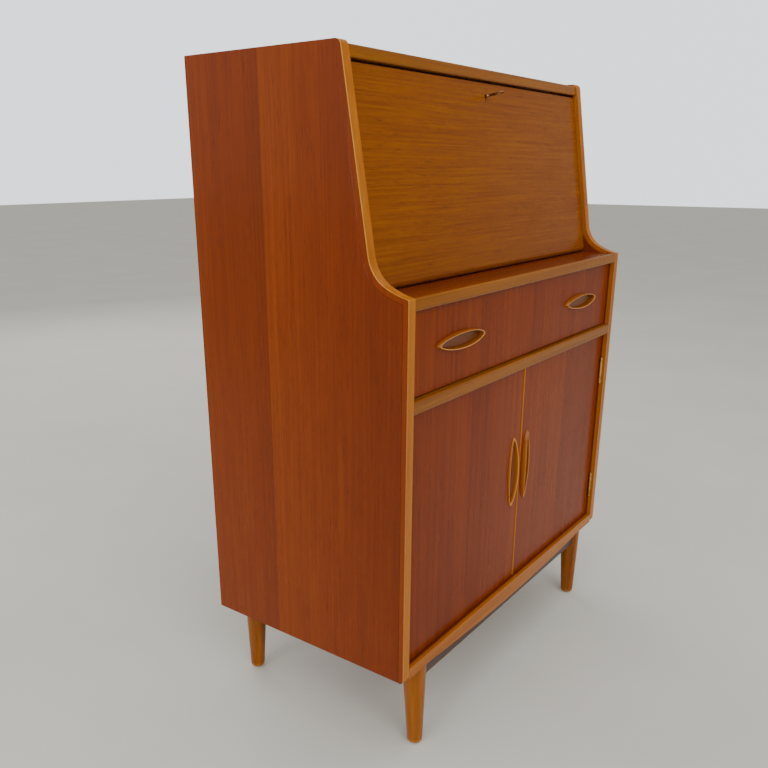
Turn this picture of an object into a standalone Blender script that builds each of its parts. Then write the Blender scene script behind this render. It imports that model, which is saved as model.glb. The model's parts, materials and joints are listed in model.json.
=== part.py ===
"""A bureau: a secretary desk with a sloping drop-front writing flap over one drawer and a two-door cupboard.

Metres. X is the width, the front faces -Y, Z is up, and the origin is on the floor under the middle.
"""

import math

import bmesh
import bpy
from mathutils import Matrix, Vector

# Overall sizes.
WIDTH = 0.764
DEPTH = 0.400
HEIGHT = 1.067

# Clearances.
FIT = 0.0003  # between two pieces that are glued or screwed together
DOOR_GAP = 0.0015  # round the doors and the drawer front
FLAP_SIDE_GAP = 0.001
FLAP_LIFT = 0.0005  # between the flap's round edge and the shelf
STOP_GAP = 0.0005

# Levels and boards of the case.
LEG_HEIGHT = 0.157
SHELF_TOP = 0.748
DRAWER_SPACE = 0.125
SIDE_THICK = 0.018
SHELF_THICK = 0.018
BOTTOM_THICK = 0.019
TOP_THICK = 0.017
TOP_STEP = 0.004  # the sides stand this much above the top
MID_RAIL_THICK = 0.020
MID_RAIL_DEPTH = 0.060
DUST_PANEL_THICK = 0.006
BACK_THICK = 0.004
BACK_RECESS = 0.002
CUPBOARD_SHELF_Z = 0.375
CUPBOARD_SHELF_THICK = 0.016
CUPBOARD_SHELF_SETBACK = 0.050
SOFT = 0.0008  # the eased edge of a board

# The front edge of the sides: upright, a long toe, a tight hollow, then the straight slope.
SLOPE = math.radians(9.31)
KNEE = math.radians(62.0)
TOE = math.radians(80.0)
HOLLOW_RADIUS = 0.054
TOE_RADIUS = 0.130
TOP_CORNER_RADIUS = 0.009
FOOT_CORNER_RADIUS = 0.006
TOE_CORNER_RADIUS = 0.003

# Lippings and the plinth.
SIDE_LIP = 0.008
BOARD_LIP = 0.006
LIP_ROUND = 0.003
BOTTOM_BOW = 0.010
BOW_END = 0.070  # the lower lipping stays straight for this much at each end
APRON_DROP = 0.033
APRON_THICK = 0.016
APRON_SETBACK = 0.0064
APRON_LEAN = math.radians(9.7)

# Legs.
LEG_TOP_RADIUS = 0.0205
LEG_FOOT_RADIUS = 0.0130
LEG_SOLE_RADIUS = 0.0060
LEG_DOME = 0.008
LEG_INSET_X = 0.069
LEG_INSET_FRONT = 0.0238
LEG_INSET_BACK = 0.0208
LEG_SPLAY = 0.0040
LEG_STEPS = 32

# The top rail and the flap.
RAIL_SETBACK = 0.0022
RAIL_DEPTH = 0.028
FLAP_THICK = 0.018
FLAP_SETBACK = 0.007
FLAP_TOP_GAP = 0.0035
STOP_DROP = 0.0125
STOP_DEPTH = 0.020
PIVOT_RADIUS = 0.003
PIVOT_IN_FLAP = 0.014
PIVOT_IN_SIDE = 0.009
PIVOT_PLAY = 0.0003

# The stays: a bracket pin on the flap and a stud on the side, both at STAY_RADIUS from the pivot.
STAY_RADIUS = 0.130
STAY_ANGLE = math.radians(12.0)
STAY_PIN_RISE = 0.021
STAY_WIDTH = 0.012
STAY_THICK = 0.002
STAY_PIN_RADIUS = 0.0020
STAY_HEAD_RADIUS = 0.0035
STUD_RADIUS = 0.0022
STUD_HEAD_RADIUS = 0.0045
STUD_FLANGE_RADIUS = 0.0060
STAY_PLAY = 0.0003
STAY_END_SPARE = 0.0085
BRACKET_LENGTH = 0.024
BRACKET_WIDTH = 0.032
PLATE_THICK = 0.0016

# The lock and its key.
LOCK_WIDTH = 0.060
LOCK_LENGTH = 0.040
LOCK_THICK = 0.012
LOCK_FACE = 0.0012
KEY_DOWN = 0.0205  # from the flap's top edge to the keyhole
KEY_RADIUS = 0.0025
KEY_BIT_REACH = 0.0075
KEY_BIT_THICK = 0.0020
KEY_BIT_WIDTH = 0.0030
KEY_OUT = 0.034
KEY_BOW_LENGTH = 0.016
KEY_BOW_WIDTH = 0.013
KEY_PLAY = 0.0005
BOLT_WIDTH = 0.015
BOLT_THICK = 0.004
BOLT_LENGTH = 0.025
BOLT_THROW = 0.010
BOLT_PLAY = 0.0004

# Inside the desk.
DESK_FLOOR_GAP = 0.0035
UNIT_SIDE_GAP = 0.014
UNIT_SETBACK = 0.180
UNIT_HEIGHT = 0.1337
UNIT_BOARD = 0.009
UNIT_DIVIDER = 0.008

# Doors, drawer and pulls.
FACE_RECESS = 0.010
DOOR_THICK = 0.018
MEETING_GAP = 0.002
BEAD_WIDTH = 0.005
DRAWER_FRONT_THICK = 0.018
DRAWER_SIDE_THICK = 0.012
DRAWER_HEADROOM = 0.0095  # from the drawer's sides up to the shelf
DRAWER_BACK_THICK = 0.010
DRAWER_BOTTOM_THICK = 0.004
DRAWER_SLIP = 0.001
DRAWER_BEHIND = 0.029
GROOVE_DEPTH = 0.004
RUNNER_WIDTH = 0.0077
RUNNER_HEIGHT = 0.012
RUNNER_UP = 0.055
RUNNER_PLAY = 0.0005
PULL_PROUD = 0.0095
PULL_IN = 0.004
PULL_DISH = 0.012
PULL_RIM_SIDE = 0.004
PULL_RIM_END = 0.010
PULL_ROUND = 0.0015
DRAWER_PULL_LENGTH = 0.140
DRAWER_PULL_WIDTH = 0.028
DRAWER_PULL_X = 0.224
DOOR_PULL_LENGTH = 0.138
DOOR_PULL_WIDTH = 0.027
DOOR_PULL_X = 0.026
DOOR_PULL_DOWN = 0.190  # from the cupboard's upper edge to the pull's middle

# Butt hinges.
HINGE_LENGTH = 0.055
HINGE_KNUCKLES = 5
HINGE_RADIUS = 0.0032
HINGE_PIN_RADIUS = 0.0012
HINGE_LEAF = 0.0009
HINGE_LEAF_WIDTH = 0.0155
HINGE_TOP_DOWN = 0.078  # from the door opening's upper edge to the upper hinge's middle
HINGE_BOTTOM_UP = 0.073

# Places worked out from the sizes.
HALF_W = WIDTH / 2
INNER_X = HALF_W - SIDE_THICK
FRONT_Y = -DEPTH / 2
BACK_Y = DEPTH / 2
BOARD_X = INNER_X - FIT
BACK_FACE = BACK_Y - BACK_RECESS - BACK_THICK
BOARD_BACK = BACK_FACE - FIT
TOP_Z = HEIGHT - TOP_STEP
TOP_UNDER = TOP_Z - TOP_THICK
SHELF_UNDER = SHELF_TOP - SHELF_THICK
MID_TOP = SHELF_UNDER - DRAWER_SPACE
MID_UNDER = MID_TOP - MID_RAIL_THICK
BOTTOM_TOP = LEG_HEIGHT + BOTTOM_THICK
FACE_Y = FRONT_Y + FACE_RECESS
DOOR_BACK_Y = FACE_Y + DOOR_THICK
SIN, COS, TAN = math.sin(SLOPE), math.cos(SLOPE), math.tan(SLOPE)

SIDE_PLANE = Matrix(((0, 0, 1, 0), (1, 0, 0, 0), (0, 1, 0, 0), (0, 0, 0, 1)))  # (y, z) outlines
FRONT_PLANE = Matrix(((1, 0, 0, 0), (0, 0, -1, 0), (0, 1, 0, 0), (0, 0, 0, 1)))  # (x, z) outlines

for old in list(bpy.data.objects):
    bpy.data.objects.remove(old)


def new_collection(name, hidden=False):
    made = bpy.data.collections.new(name)
    bpy.context.scene.collection.children.link(made)
    made.hide_render = hidden
    return made


PARTS = new_collection("secretary_desk")
CUTTERS = new_collection("cutters", hidden=True)


def new_material(name, colour, roughness, metallic=0.0):
    made = bpy.data.materials.new(name)
    made.use_nodes = True
    shader = made.node_tree.nodes["Principled BSDF"]
    shader.inputs["Base Color"].default_value = (*colour, 1.0)
    shader.inputs["Roughness"].default_value = roughness
    shader.inputs["Metallic"].default_value = metallic
    made.diffuse_color = (*colour, 1.0)
    return made


CASE_VENEER = new_material("case_veneer", (0.30, 0.11, 0.035), 0.32)
FRONT_VENEER = new_material("front_veneer", (0.27, 0.075, 0.030), 0.25)
LIPPING = new_material("lipping", (0.47, 0.23, 0.085), 0.35)
LEG_WOOD = new_material("leg_wood", (0.42, 0.20, 0.075), 0.35)
APRON_WOOD = new_material("apron_wood", (0.12, 0.035, 0.025), 0.40)
INSIDE_WOOD = new_material("inside_wood", (0.44, 0.25, 0.11), 0.50)
BACKING = new_material("backing_board", (0.36, 0.22, 0.11), 0.70)
BRASS = new_material("brass", (0.72, 0.50, 0.20), 0.30, 1.0)
STEEL = new_material("steel", (0.55, 0.54, 0.52), 0.35, 1.0)


def axis_empty(name, matrix, parent=None):
    """An empty on a joint's axis, which the pieces that move about it hang from."""
    made = bpy.data.objects.new(name, None)
    made.empty_display_size = 0.03
    PARTS.objects.link(made)
    made.matrix_world = matrix
    if parent:
        made.parent = parent
        made.matrix_parent_inverse = WORLD[parent.name].inverted()
    WORLD[name] = matrix.copy()
    return made


WORLD = {}


def place(name, mesh, matrix, material=None, parent=None):
    """The mesh as an object. With no material it is a cutter."""
    made = bpy.data.objects.new(name, mesh)
    made.matrix_world = matrix
    if material is None:
        made.hide_render = True
        made.display_type = "WIRE"
        CUTTERS.objects.link(made)
        return made
    mesh.materials.append(material)
    PARTS.objects.link(made)
    parent = parent or ROOT
    made.parent = parent
    made.matrix_parent_inverse = WORLD[parent.name].inverted()
    return made


def mesh_of(name, shape):
    bmesh.ops.recalc_face_normals(shape, faces=shape.faces)
    mesh = bpy.data.meshes.new(name)
    shape.to_mesh(mesh)
    shape.free()
    return mesh


def soften(made, width, segments=1, where=None):
    """Rounds the object's edges, all the sharp ones or those whose two ends pass the test."""
    bevel = made.modifiers.new("eased_edges", "BEVEL")
    bevel.width = width
    bevel.segments = segments
    if where is None:
        bevel.limit_method = "ANGLE"
        bevel.angle_limit = math.radians(40)
        return made
    bevel.limit_method = "WEIGHT"
    shape = bmesh.new()
    shape.from_mesh(made.data)
    weight = shape.edges.layers.float.new("bevel_weight_edge")
    for edge in shape.edges:
        sharp = len(edge.link_faces) == 2 and edge.calc_face_angle(0) > math.radians(40)
        edge[weight] = float(sharp and where(edge.verts[0].co, edge.verts[1].co))
    shape.to_mesh(made.data)
    shape.free()
    return made


def box(name, xs, ys, zs, material=None, frame=None, parent=None, soft=0.0):
    """A block between three pairs of limits in the frame, with its origin at its middle."""
    shape = bmesh.new()
    bmesh.ops.create_cube(shape, size=1.0)
    size = Vector((xs[1] - xs[0], ys[1] - ys[0], zs[1] - zs[0]))
    bmesh.ops.scale(shape, vec=size, verts=shape.verts)
    middle = Vector((sum(xs) / 2, sum(ys) / 2, sum(zs) / 2))
    matrix = (frame or Matrix()) @ Matrix.Translation(middle)
    made = place(name, mesh_of(name, shape), matrix, material, parent)
    return soften(made, soft) if soft else made


def outline(name, loops, half, matrix, material=None, parent=None):
    """A flat piece from a closed outline, with any further loops as holes."""
    curve = bpy.data.curves.new(name, "CURVE")
    curve.dimensions = "2D"
    curve.fill_mode = "BOTH"
    curve.extrude = half
    for points in loops:
        spline = curve.splines.new("POLY")
        spline.points.add(len(points) - 1)
        spline.use_cyclic_u = True
        for point, (a, b) in zip(spline.points, points):
            point.co = (a, b, 0, 1)
    drawn = bpy.data.objects.new(name + "_outline", curve)
    bpy.context.scene.collection.objects.link(drawn)
    graph = bpy.context.evaluated_depsgraph_get()
    flat = bpy.data.meshes.new_from_object(drawn.evaluated_get(graph))
    bpy.data.objects.remove(drawn)
    shape = bmesh.new()
    shape.from_mesh(flat)
    bmesh.ops.remove_doubles(shape, verts=shape.verts, dist=1e-6)
    if len(loops) == 1:
        bmesh.ops.dissolve_limit(
            shape, angle_limit=1e-3, verts=shape.verts, edges=shape.edges
        )
    return place(name, mesh_of(name, shape), matrix, material, parent)


def turned(name, profile, matrix, material=None, parent=None, steps=24):
    """A round piece from (radius, height) points that run from its top to its bottom."""
    mesh = bpy.data.meshes.new(name)
    points = [(radius, 0, height) for radius, height in profile]
    mesh.from_pydata(points, [(i, i + 1) for i in range(len(points) - 1)], [])
    made = place(name, mesh, matrix, material, parent)
    screw = made.modifiers.new("turning", "SCREW")
    screw.steps = steps
    screw.render_steps = steps
    screw.use_merge_vertices = True
    screw.merge_threshold = 0.00001
    screw.use_smooth_shade = True
    return made


def rod(name, radius, start, end, matrix, material=None, parent=None, steps=24):
    """A cylinder along the matrix's own z, from start to end."""
    shape = bmesh.new()
    bmesh.ops.create_cone(
        shape,
        cap_ends=True,
        segments=steps,
        radius1=radius,
        radius2=radius,
        depth=end - start,
    )
    mesh = mesh_of(name, shape)
    mesh.shade_smooth()
    mesh.set_sharp_from_angle(angle=math.radians(40))
    middle = Matrix.Translation((0, 0, (start + end) / 2))
    return place(name, mesh, matrix @ middle, material, parent)


def boolean(made, cutter, operation="DIFFERENCE", solver="EXACT"):
    step = made.modifiers.new(cutter.name, "BOOLEAN")
    step.operation = operation
    step.solver = solver
    step.object = cutter
    return made


def rounded(corners, steps=4):
    """(a, b, radius) corners as points, with an arc in place of each corner that has a radius."""
    points = []
    for i, (a, b, radius) in enumerate(corners):
        corner = Vector((a, b))
        if not radius:
            points.append((a, b))
            continue
        before = (Vector(corners[i - 1][:2]) - corner).normalized()
        after = (Vector(corners[(i + 1) % len(corners)][:2]) - corner).normalized()
        half = before.angle(after) / 2
        centre = corner + (before + after).normalized() * radius / math.sin(half)
        start = corner + before * radius / math.tan(half) - centre
        end = corner + after * radius / math.tan(half) - centre
        turn = start.angle_signed(end)
        for step in range(steps + 1):
            way = -turn * step / steps
            x = start.x * math.cos(way) - start.y * math.sin(way)
            y = start.x * math.sin(way) + start.y * math.cos(way)
            points.append((centre.x + x, centre.y + y))
    return points


def circle(radius, a=0.0, b=0.0, steps=24):
    turns = [2 * math.pi * i / steps for i in range(steps)]
    return [(a + radius * math.cos(t), b + radius * math.sin(t)) for t in turns]


def slot_loop(start, end, radius, steps=8):
    """A round-ended slot along the first axis."""
    points = []
    for middle, first in ((end, -math.pi / 2), (start, math.pi / 2)):
        for step in range(steps + 1):
            turn = first + math.pi * step / steps
            points.append((middle + radius * math.cos(turn), radius * math.sin(turn)))
    return points


def lens(length, width, steps=20):
    """Two equal arcs that meet in a point at each end, long way along the first axis."""
    a, b = length / 2, width / 2
    radius = (a * a + b * b) / (2 * b)
    reach = math.asin(a / radius)
    points = []
    for side in (1, -1):
        for step in range(steps):
            turn = side * reach * (1 - 2 * step / steps)
            points.append((radius * math.sin(turn), side * (radius * math.cos(turn) - radius + b)))
    return points


# ---------------------------------------------------------------- the sides' shape


def sweep(inset):
    """The curved part of a side's front edge from the toe up, moved into the board by the inset."""
    points = []
    y, z = FRONT_Y, SHELF_TOP
    for radius, low, high, steps in (
        (TOE_RADIUS, TOE, KNEE, 4),
        (HOLLOW_RADIUS, KNEE, SLOPE, 9),
    ):
        for step in range(1 if points else 0, steps + 1):
            turn = low + (high - low) * step / steps
            along = y + radius * (math.cos(turn) - math.cos(low))
            up = z + radius * (math.sin(low) - math.sin(turn))
            points.append((along + inset * math.cos(turn), up - inset * math.sin(turn)))
        y += radius * (math.cos(high) - math.cos(low))
        z += radius * (math.sin(low) - math.sin(high))
    return points


SLOPE_FOOT_Y, SLOPE_FOOT_Z = sweep(0)[-1]


def slope_y(z, behind=0.0):
    """The y of the sides' straight slope at a level, or of a face parallel to it and behind it."""
    return SLOPE_FOOT_Y + (z - SLOPE_FOOT_Z) * TAN + behind / COS


def inner_edge(inset):
    """The side's front edge moved into the board by the inset, from the bottom to the top."""
    front = FRONT_Y + inset
    curved = sweep(inset)
    kept = [point for point in curved if point[0] > front]
    before = curved[curved.index(kept[0]) - 1]
    share = (front - before[0]) / (kept[0][0] - before[0])
    crossing = (front, before[1] + share * (kept[0][1] - before[1]))
    return [(front, LEG_HEIGHT), crossing, *kept, (slope_y(HEIGHT, inset), HEIGHT)]


def outer_edge():
    """The side's own front edge from the bottom to the top, with its corners rounded."""
    corners = [(FRONT_Y, LEG_HEIGHT, FOOT_CORNER_RADIUS)]
    corners += [(y, z, 0) for y, z in sweep(0)]
    corners[1] = (*corners[1][:2], TOE_CORNER_RADIUS)
    corners.append((slope_y(HEIGHT), HEIGHT, TOP_CORNER_RADIUS))
    corners += [(y, z, 0) for y, z in reversed(inner_edge(SIDE_LIP))]
    return rounded(corners)


ROOT = axis_empty("secretary_desk_frame", Matrix())
MIRROR = {"left": -1, "right": 1}


def across(side, near, far):
    """Two distances from the middle plane as X limits on one side of it."""
    sign = MIRROR[side]
    return tuple(sorted((sign * near, sign * far)))


# ---------------------------------------------------------------- the flap's axis

AXIS_Z = SHELF_TOP + FLAP_LIFT + FLAP_THICK / 2
AXIS_Y = slope_y(AXIS_Z, FLAP_SETBACK + FLAP_THICK / 2)
# The flap's frame has its origin on the pivot, y into the desk and z up the flap.
FLAP_FRAME = Matrix.Translation((0, AXIS_Y, AXIS_Z)) @ Matrix.Rotation(-SLOPE, 4, "X")
FLAP_LENGTH = (TOP_UNDER - FLAP_TOP_GAP - AXIS_Z - FLAP_THICK / 2 * SIN) / COS
FLAP_AXIS = axis_empty("flap_axis", FLAP_FRAME, ROOT)
PIN_ALONG_X = Matrix.Rotation(math.pi / 2, 4, "Y")

pivot_holes = []
for side, sign in MIRROR.items():
    flap_x = INNER_X - FLAP_SIDE_GAP
    matrix = FLAP_FRAME @ Matrix.Translation((sign * INNER_X, 0, 0)) @ PIN_ALONG_X
    low, high = sorted((sign * PIVOT_IN_SIDE, -sign * (FLAP_SIDE_GAP + PIVOT_IN_FLAP)))
    rod(side + "_flap_pivot_pin", PIVOT_RADIUS, low, high, matrix, BRASS, FLAP_AXIS)
    hole = PIVOT_RADIUS + PIVOT_PLAY
    pivot_holes.append(
        rod("pivot_hole_" + side, hole, low - FIT, high + FIT, matrix, steps=24)
    )

# ---------------------------------------------------------------- case

for side, sign in MIRROR.items():
    plane = Matrix.Translation((sign * (INNER_X + HALF_W) / 2, 0, 0)) @ SIDE_PLANE
    panel = [(BACK_Y, HEIGHT), (BACK_Y, LEG_HEIGHT), *inner_edge(SIDE_LIP + FIT)]
    board = outline(side + "_side_panel", [panel], SIDE_THICK / 2, plane, CASE_VENEER)
    soften(board, SOFT)
    boolean(board, pivot_holes[0 if side == "left" else 1])
    edge = outer_edge()
    lip = outline(side + "_side_lipping", [edge], SIDE_THICK / 2, plane, LIPPING)
    glued = inner_edge(SIDE_LIP)

    def on_front(a, b):
        same_face = a.z * b.z > 0
        touches = any(
            abs(point.x - y) < 1e-5 and abs(point.y - z) < 1e-5
            for point in (a, b)
            for y, z in glued
        )
        return same_face and not touches

    soften(lip, LIP_ROUND, 3, on_front)

rail_top = slope_y(TOP_Z, RAIL_SETBACK)
rail_back = rail_top + RAIL_DEPTH
rail = outline(
    "top_front_rail",
    [
        rounded(
            [
                (rail_top, TOP_Z, LIP_ROUND),
                (slope_y(TOP_UNDER, RAIL_SETBACK), TOP_UNDER, LIP_ROUND),
                (rail_back, TOP_UNDER, 0),
                (rail_back, TOP_Z, 0),
            ]
        )
    ],
    BOARD_X,
    SIDE_PLANE,
    LIPPING,
)
box(
    "top_panel",
    (-BOARD_X, BOARD_X),
    (rail_back + FIT, BOARD_BACK),
    (TOP_UNDER, TOP_Z),
    CASE_VENEER,
    soft=SOFT,
)
stop_top = TOP_UNDER - FIT
stop_low = stop_top - STOP_DROP
behind_flap = FLAP_SETBACK + FLAP_THICK + STOP_GAP
stop_back = slope_y(stop_top, behind_flap) + STOP_DEPTH
stop = outline(
    "flap_stop_rail",
    [
        [
            (slope_y(stop_top, behind_flap), stop_top),
            (slope_y(stop_low, behind_flap), stop_low),
            (stop_back, stop_low),
            (stop_back, stop_top),
        ]
    ],
    BOARD_X,
    SIDE_PLANE,
    LIPPING,
)
soften(stop, SOFT)


def edge_strip(name, low, high):
    """A lipping along the front edge of a board, with its two front corners rounded."""
    corners = [
        (FRONT_Y, low, LIP_ROUND),
        (FRONT_Y + BOARD_LIP, low, 0),
        (FRONT_Y + BOARD_LIP, high, 0),
        (FRONT_Y, high, LIP_ROUND),
    ]
    return outline(name, [rounded(corners)], BOARD_X, SIDE_PLANE, LIPPING)


board_front = FRONT_Y + BOARD_LIP + FIT
edge_strip("shelf_lipping", SHELF_UNDER, SHELF_TOP)
box(
    "desk_shelf",
    (-BOARD_X, BOARD_X),
    (board_front, BOARD_BACK),
    (SHELF_UNDER, SHELF_TOP),
    CASE_VENEER,
    soft=SOFT,
)
floor_low = SHELF_TOP + FIT
floor_high = AXIS_Z + FLAP_THICK / 2 - FIT
box(
    "desk_floor",
    (-BOARD_X, BOARD_X),
    (AXIS_Y + FLAP_THICK / 2 + DESK_FLOOR_GAP, BOARD_BACK),
    (floor_low, floor_high),
    INSIDE_WOOD,
    soft=SOFT,
)
mid_back = FRONT_Y + MID_RAIL_DEPTH
outline(
    "mid_rail",
    [
        rounded(
            [
                (FRONT_Y, MID_UNDER, LIP_ROUND),
                (mid_back, MID_UNDER, 0),
                (mid_back, MID_TOP, 0),
                (FRONT_Y, MID_TOP, LIP_ROUND),
            ]
        )
    ],
    BOARD_X,
    SIDE_PLANE,
    LIPPING,
)
dust_middle = (MID_TOP + MID_UNDER) / 2
box(
    "drawer_divider_panel",
    (-BOARD_X, BOARD_X),
    (mid_back + FIT, BOARD_BACK),
    (dust_middle - DUST_PANEL_THICK / 2, dust_middle + DUST_PANEL_THICK / 2),
    INSIDE_WOOD,
    soft=SOFT,
)
box(
    "cupboard_shelf",
    (-INNER_X + DOOR_GAP, INNER_X - DOOR_GAP),
    (FRONT_Y + CUPBOARD_SHELF_SETBACK, BOARD_BACK),
    (CUPBOARD_SHELF_Z, CUPBOARD_SHELF_Z + CUPBOARD_SHELF_THICK),
    INSIDE_WOOD,
    soft=SOFT,
)
box(
    "bottom_panel",
    (-BOARD_X, BOARD_X),
    (board_front, BOARD_BACK),
    (LEG_HEIGHT, BOTTOM_TOP),
    CASE_VENEER,
    soft=SOFT,
)
box(
    "back_panel",
    (-BOARD_X, BOARD_X),
    (BACK_FACE, BACK_FACE + BACK_THICK),
    (LEG_HEIGHT, TOP_Z),
    BACKING,
)

bow_half = BOARD_X - BOW_END
bow = [(-BOARD_X, BOTTOM_TOP), (-BOARD_X, LEG_HEIGHT)]
bow_steps = 16
for step in range(bow_steps + 1):
    share = 2 * step / bow_steps - 1
    bow.append((share * bow_half, LEG_HEIGHT - BOTTOM_BOW * (1 - share * share)))
bow += [(BOARD_X, LEG_HEIGHT), (BOARD_X, BOTTOM_TOP)]
lip_plane = Matrix.Translation((0, FRONT_Y + BOARD_LIP / 2, 0)) @ FRONT_PLANE
lower_lip = outline("bottom_lipping", [bow], BOARD_LIP / 2, lip_plane, LIPPING)


def on_face(a, b):
    return a.z > 0 and b.z > 0 and abs(a.x - b.x) > 1e-4


soften(lower_lip, LIP_ROUND * 0.6, 2, on_face)

# ---------------------------------------------------------------- legs and apron


def leg_profile(extra=0.0):
    """From the top down: a straight taper, then a domed foot on a small flat sole."""
    top = LEG_HEIGHT - FIT + 4 * extra
    points = [(0, top), (LEG_TOP_RADIUS + extra, top)]
    drop = LEG_FOOT_RADIUS - LEG_SOLE_RADIUS
    for step in range(5):
        turn = math.pi / 2 * step / 4
        radius = LEG_SOLE_RADIUS + drop * math.cos(turn)
        points.append((radius + extra, LEG_DOME * (1 - math.sin(turn))))
    return [*points, (0, 0)]


def leg(name, x, y, splay, material=None, extra=0.0):
    """A leg whose foot stands further out than its top by the splay, as a shear, so its sole stays level."""
    drawn = turned(name + "_turning", leg_profile(extra), Matrix(), None, steps=LEG_STEPS)
    bpy.context.view_layer.update()
    graph = bpy.context.evaluated_depsgraph_get()
    mesh = bpy.data.meshes.new_from_object(drawn.evaluated_get(graph))
    bpy.data.objects.remove(drawn)
    shear = Matrix()
    shear[1][2] = -splay / LEG_HEIGHT
    shear[1][3] = splay
    mesh.transform(shear)
    mesh.set_sharp_from_angle(angle=math.radians(40))
    mesh.name = name
    return place(name, mesh, Matrix.Translation((x, y, 0)), material)


leg_x = HALF_W - LEG_INSET_X
front_leg_y = FRONT_Y + LEG_INSET_FRONT
back_leg_y = BACK_Y - LEG_INSET_BACK
for side, sign in MIRROR.items():
    leg("front_" + side + "_leg", sign * leg_x, front_leg_y, -LEG_SPLAY, LEG_WOOD)
    leg("back_" + side + "_leg", sign * leg_x, back_leg_y, LEG_SPLAY, LEG_WOOD)

apron_high = LEG_HEIGHT - FIT
apron_low = LEG_HEIGHT - APRON_DROP
apron_front = FRONT_Y + APRON_SETBACK
apron_lean = (apron_high - apron_low) * math.tan(APRON_LEAN)
apron = outline(
    "front_apron",
    [
        rounded(
            [
                (apron_front, apron_high, 0),
                (apron_front + apron_lean, apron_low, 0.002),
                (apron_front + apron_lean + APRON_THICK, apron_low, 0.002),
                (apron_front + APRON_THICK, apron_high, 0),
            ],
            2,
        )
    ],
    leg_x,
    SIDE_PLANE,
    APRON_WOOD,
)
for side, sign in MIRROR.items():
    cope = leg("cope_" + side, sign * leg_x, front_leg_y, -LEG_SPLAY, None, 2 * FIT)
    boolean(apron, cope)

# ---------------------------------------------------------------- flap

half_thick = FLAP_THICK / 2
flap_loop = [(-half_thick, 0)]
for step in range(1, 16):
    turn = math.pi + math.pi * step / 16
    flap_loop.append((half_thick * math.cos(turn), half_thick * math.sin(turn)))
flap_loop += [(half_thick, 0), (half_thick, FLAP_LENGTH), (-half_thick, FLAP_LENGTH)]
flap = outline(
    "flap_panel",
    [flap_loop],
    INNER_X - FLAP_SIDE_GAP,
    FLAP_FRAME @ SIDE_PLANE,
    FRONT_VENEER,
    FLAP_AXIS,
)
soften(flap, SOFT)
for hole in pivot_holes:
    boolean(flap, hole)

lock_low = FLAP_LENGTH - LOCK_LENGTH
lock_front = half_thick - LOCK_THICK
key_up = FLAP_LENGTH - KEY_DOWN
pocket = box(
    "lock_pocket",
    (-LOCK_WIDTH / 2 - FIT, LOCK_WIDTH / 2 + FIT),
    (lock_front - FIT, FLAP_THICK),
    (lock_low - FIT, FLAP_LENGTH + FLAP_THICK),
    frame=FLAP_FRAME,
)
boolean(flap, pocket)
KEY_FRAME = FLAP_FRAME @ Matrix.Translation((0, 0, key_up))
THROUGH_FLAP = Matrix.Rotation(-math.pi / 2, 4, "X")  # its z runs along the frame's y
keyhole = rod(
    "keyhole_round",
    KEY_RADIUS + KEY_PLAY,
    -FLAP_THICK,
    lock_front + LOCK_FACE + FIT,
    KEY_FRAME @ THROUGH_FLAP,
)
keyslot = box(
    "keyhole_slot",
    (-KEY_BIT_THICK / 2 - KEY_PLAY, KEY_BIT_THICK / 2 + KEY_PLAY),
    (-FLAP_THICK, lock_front + LOCK_FACE + FIT),
    (-KEY_BIT_REACH - KEY_PLAY, 0),
    frame=KEY_FRAME,
)
boolean(flap, keyhole)
boolean(flap, keyslot)

lock = box(
    "lock_case",
    (-LOCK_WIDTH / 2, LOCK_WIDTH / 2),
    (lock_front, half_thick),
    (lock_low, FLAP_LENGTH),
    BRASS,
    FLAP_FRAME,
    FLAP_AXIS,
)
bolt_front = lock_front + LOCK_FACE + KEY_BIT_WIDTH + 2 * KEY_PLAY + FIT
bolt_rest = FLAP_LENGTH - 0.0005
bolt_channel = box(
    "bolt_channel",
    (-BOLT_WIDTH / 2 - BOLT_PLAY, BOLT_WIDTH / 2 + BOLT_PLAY),
    (bolt_front - BOLT_PLAY, bolt_front + BOLT_THICK + BOLT_PLAY),
    (bolt_rest - BOLT_LENGTH - BOLT_PLAY, TOP_Z),
    frame=FLAP_FRAME,
)
key_well = rod(
    "key_well",
    KEY_BIT_REACH + KEY_PLAY,
    lock_front + LOCK_FACE,
    bolt_front + FIT,
    KEY_FRAME @ THROUGH_FLAP,
)
for cutter in (bolt_channel, key_well, keyhole, keyslot):
    boolean(lock, cutter)
BOLT_AXIS = axis_empty("lock_bolt_axis", FLAP_FRAME, FLAP_AXIS)
box(
    "lock_bolt",
    (-BOLT_WIDTH / 2, BOLT_WIDTH / 2),
    (bolt_front, bolt_front + BOLT_THICK),
    (bolt_rest - BOLT_LENGTH, bolt_rest),
    STEEL,
    FLAP_FRAME,
    BOLT_AXIS,
    soft=0.0004,
)
strike = box(
    "strike_slot",
    (-BOLT_WIDTH / 2 - 0.001, BOLT_WIDTH / 2 + 0.001),
    (bolt_front - 0.001, bolt_front + BOLT_THICK + 0.001),
    (FLAP_LENGTH, bolt_rest + BOLT_THROW + 0.0015),
    frame=FLAP_FRAME,
)
boolean(rail, strike)

# The key: a shank with a bit at its inner end and a flat bow.
KEY_AXIS = axis_empty("key_axis", KEY_FRAME, FLAP_AXIS)
key_in = lock_front + LOCK_FACE + KEY_PLAY + KEY_BIT_WIDTH
bow_middle = -half_thick - KEY_OUT + KEY_BOW_LENGTH / 2
shank_end = bow_middle + KEY_BOW_LENGTH / 2 - 0.002
key = rod(
    "key", KEY_RADIUS, shank_end, key_in, KEY_FRAME @ THROUGH_FLAP, STEEL, KEY_AXIS
)
bit = box(
    "key_bit",
    (-KEY_BIT_THICK / 2, KEY_BIT_THICK / 2),
    (key_in - KEY_BIT_WIDTH, key_in - FIT),
    (-KEY_BIT_REACH, 0),
    frame=KEY_FRAME,
)


def oval(length, width, middle, steps=24):
    return [(middle + a * length / 2, b * width / 2) for a, b in circle(1.0, steps=steps)]


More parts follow.
